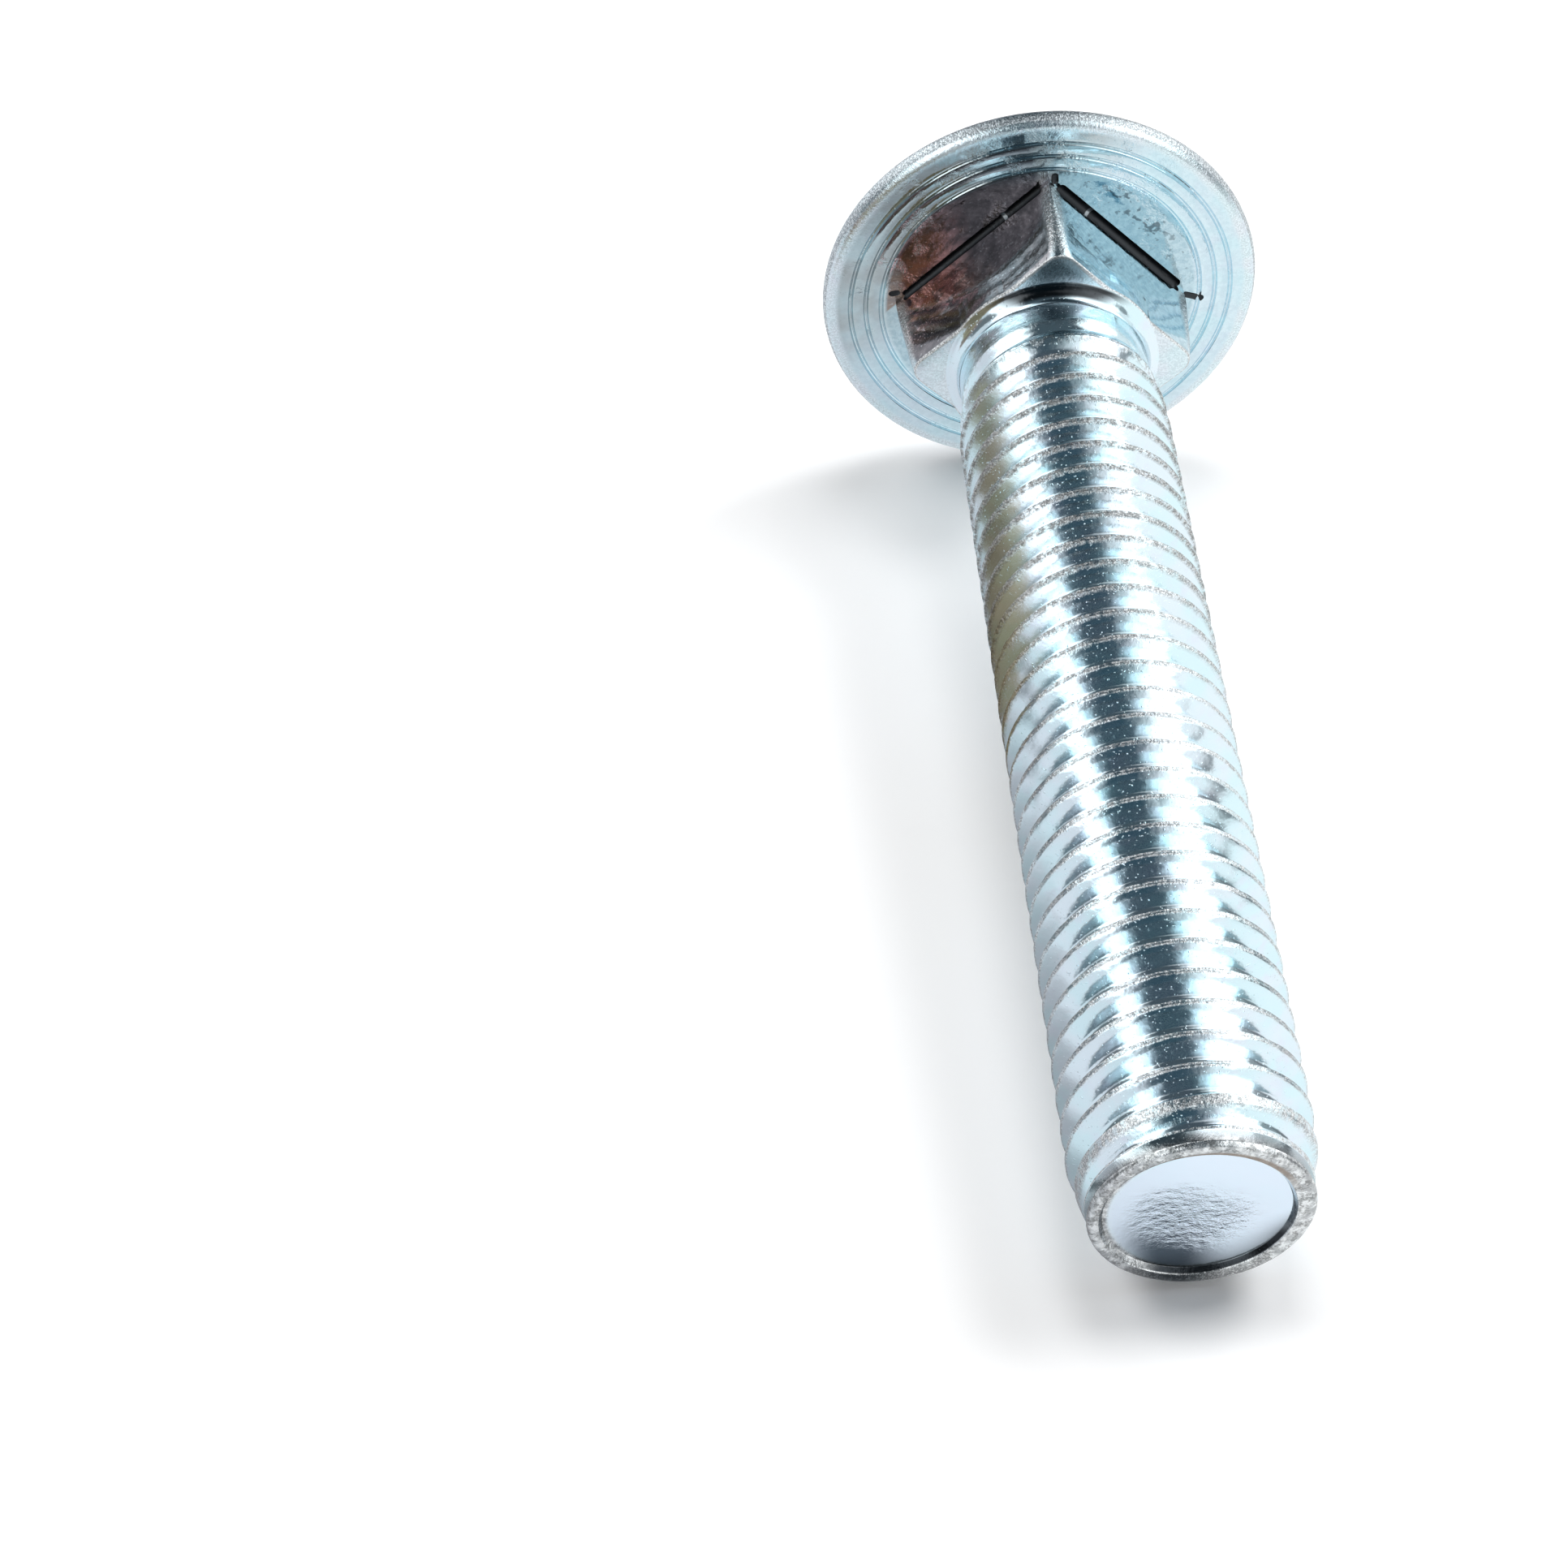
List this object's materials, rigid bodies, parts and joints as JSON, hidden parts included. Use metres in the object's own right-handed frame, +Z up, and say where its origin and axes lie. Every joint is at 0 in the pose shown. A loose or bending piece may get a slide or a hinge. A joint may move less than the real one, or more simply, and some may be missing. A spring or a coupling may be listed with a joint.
{
  "type": "carriage bolt",
  "caption": "Round-head bolt with a square neck under a low domed head and a rolled thread up to the neck, to a dished end.",
  "frame": {"origin": "centre of the bolt's box on the ground, where it lies on its head's rim and on the last full crest of its thread", "axes": "+Z up, the bolt lies along Y with its head at +Y and its threaded end at -Y, tipped about 6 degrees down to the threaded end"},
  "size_m": [0.0268, 0.0766, 0.0267],
  "materials": {
    "zinc_plate": "bright clear blue-white zinc plate over rolled and forged steel"
  },
  "bodies": {
    "root": {"bolt": "zinc_plate"}
  },
  "joints": []
}
